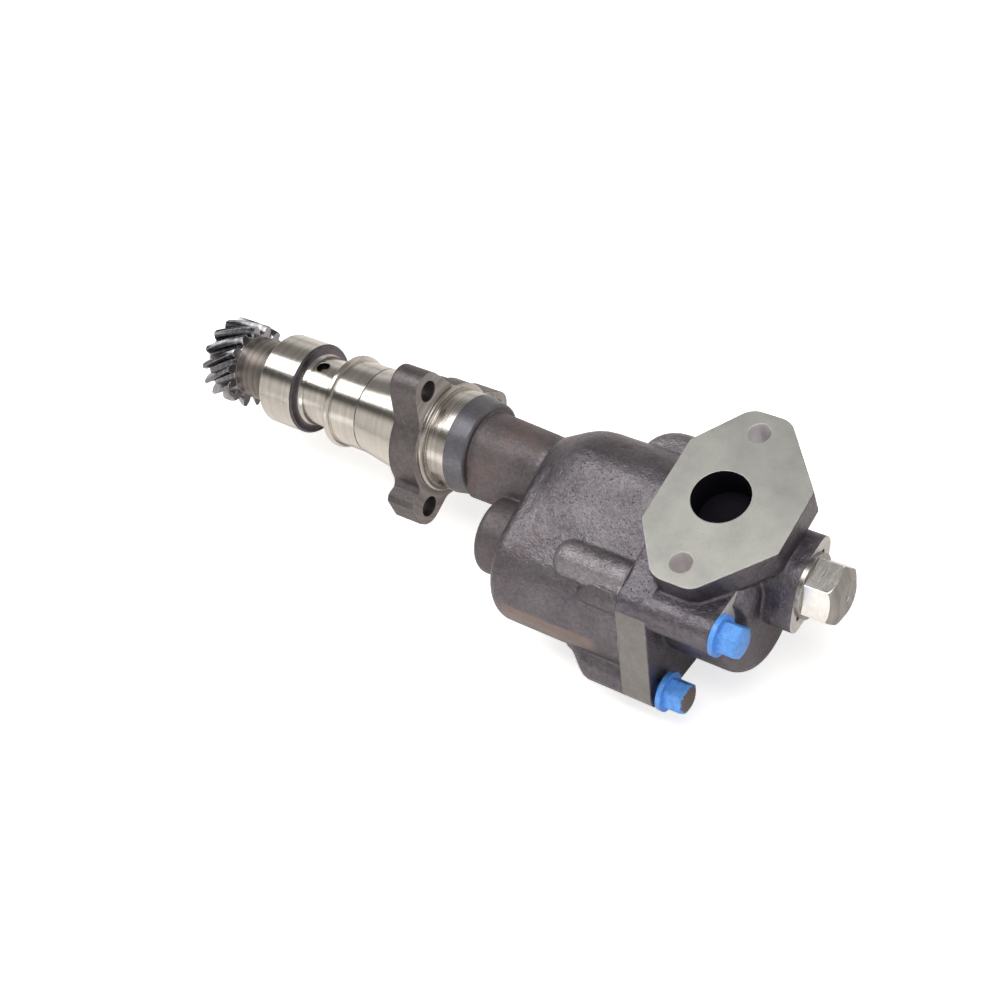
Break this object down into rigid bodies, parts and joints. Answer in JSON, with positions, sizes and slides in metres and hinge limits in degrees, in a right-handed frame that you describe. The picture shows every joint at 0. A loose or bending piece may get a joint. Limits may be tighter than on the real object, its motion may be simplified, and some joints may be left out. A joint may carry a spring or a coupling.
{
  "type": "engine oil pump",
  "caption": "Shaft-driven gear oil pump with turned journals, an eared mounting flange, a helical drive gear, a cast gear housing, a pickup flange and a relief valve.",
  "frame": {"origin": "on the drive shaft's axis, in the mounting flange's mating face, which faces -X", "axes": "+X along the drive shaft from the helical gear to the relief valve, +Z out of the pickup face"},
  "size_m": [0.4761, 0.1546, 0.1274],
  "materials": {
    "body_iron": "as cast, with turned bands",
    "cover_iron": "as cast, with milled faces",
    "gear_steel": "hardened and oiled",
    "ground_steel": "ground",
    "spring_steel": "oiled wire",
    "plated_steel": "bright zinc plate",
    "blue_bolt": "thread locking blue on steel",
    "bushing_bronze": "bored bronze"
  },
  "bodies": {
    "housing": {"pump_body": "body_iron", "pump_cover": "cover_iron", "front_bushing": "bushing_bronze", "rear_bushing": "bushing_bronze", "cover_bushing": "bushing_bronze", "idler_shaft": "ground_steel", "cover_bolts": "blue_bolt", "long_cover_bolt": "blue_bolt", "dowel_pins": "ground_steel", "relief_spring": "spring_steel", "relief_cap": "plated_steel", "relief_cap_washer": "plated_steel", "thrust_washer": "ground_steel"},
    "drive_line": {"drive_shaft": "ground_steel", "helical_drive_gear": "gear_steel", "drive_gear_key": "ground_steel", "drive_gear_washer": "plated_steel", "drive_gear_nut": "plated_steel", "pump_drive_gear": "gear_steel", "pump_gear_key": "ground_steel"},
    "idler": {"idler_gear": "gear_steel", "idler_bushing": "bushing_bronze"},
    "plunger": {"relief_plunger": "ground_steel"}
  },
  "joints": [
    {"name": "drive_spin", "type": "hinge", "parent": "housing", "child": "drive_line", "pos_m": [0, 0, 0], "axis": [1, 0, 0], "continuous": true},
    {"name": "idler_spin", "type": "hinge", "parent": "housing", "child": "idler", "pos_m": [0, -0.04299, -0.01693], "axis": [1, 0, 0], "continuous": true},
    {"name": "relief_slide", "type": "slide", "parent": "housing", "child": "plunger", "axis": [1, 0, 0], "range_m": [0, 0.007], "stiffness_N_per_m": 4000, "springref_m": -0.008, "deforming": ["relief_spring"]}
  ],
  "couplings": [
    {"joint": "idler_spin", "follows": "drive_spin", "ratio": -1}
  ]
}
